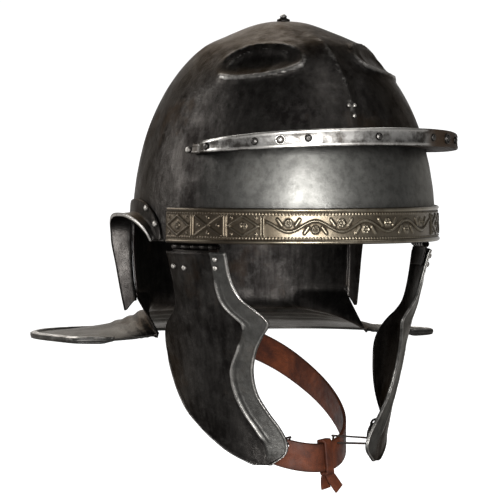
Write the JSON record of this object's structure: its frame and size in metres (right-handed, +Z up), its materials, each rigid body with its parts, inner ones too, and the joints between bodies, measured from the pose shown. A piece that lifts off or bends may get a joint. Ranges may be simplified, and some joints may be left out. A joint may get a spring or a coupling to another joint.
{
  "type": "roman legionary helmet",
  "caption": "Iron infantry helmet with a brass brow band, brow guard, flared ribbed neck guard, ear guards, hinged cheek guards tied by a leather chin strap",
  "frame": {"origin": "the top of the inside of the crown, where the helmet rests on the top of a head", "axes": "+Z up, the front faces -Y, +X is the wearer's left"},
  "size_m": [0.2898, 0.3221, 0.3304],
  "materials": {
    "dark_iron": "dark aged iron, hand polished, with worn edges",
    "bright_iron": "worn bright iron",
    "stud_iron": "blackened iron",
    "aged_brass": "dull aged brass with dark recesses",
    "red_leather": "worn red-brown leather",
    "dark_leather": "dark leather thong"
  },
  "bodies": {
    "root": {"bowl": "dark_iron", "crown_finial": "dark_iron", "brow_guard": "bright_iron", "brow_stud_1": "stud_iron", "brow_stud_2": "stud_iron", "brow_stud_3": "stud_iron", "brow_stud_4": "stud_iron", "brow_stud_5": "stud_iron", "brow_stud_6": "stud_iron", "brow_stud_7": "stud_iron", "brow_boss_right": "bright_iron", "brow_boss_left": "bright_iron", "brow_rivet_right": "bright_iron", "brow_rivet_left": "bright_iron", "keel_rivet_1": "bright_iron", "keel_rivet_2": "bright_iron", "keel_rivet_3": "bright_iron", "brow_band": "aged_brass", "ear_guard_right": "dark_iron", "ear_guard_left": "dark_iron", "ear_rivet_1_right": "bright_iron", "ear_rivet_1_left": "bright_iron", "ear_rivet_2_right": "bright_iron", "ear_rivet_2_left": "bright_iron", "cheek_guard_right": "dark_iron", "cheek_guard_left": "dark_iron", "hinge_upper_right": "stud_iron", "hinge_upper_left": "stud_iron", "hinge_lower_right": "stud_iron", "hinge_lower_left": "stud_iron", "hinge_pin_right": "stud_iron", "hinge_pin_left": "stud_iron", "cheek_rivet_1_right": "bright_iron", "cheek_rivet_1_left": "bright_iron", "cheek_rivet_2_right": "bright_iron", "cheek_rivet_2_left": "bright_iron", "cheek_rivet_3_right": "bright_iron", "cheek_rivet_3_left": "bright_iron", "cheek_rivet_4_right": "bright_iron", "cheek_rivet_4_left": "bright_iron", "tie_staple_right": "stud_iron", "tie_staple_left": "stud_iron", "tie_ring_right": "stud_iron", "tie_ring_left": "stud_iron", "tie_thong_right": "dark_leather", "tie_thong_left": "dark_leather", "chin_strap": "red_leather", "strap_knot": "red_leather", "neck_staple": "stud_iron"}
  },
  "joints": []
}
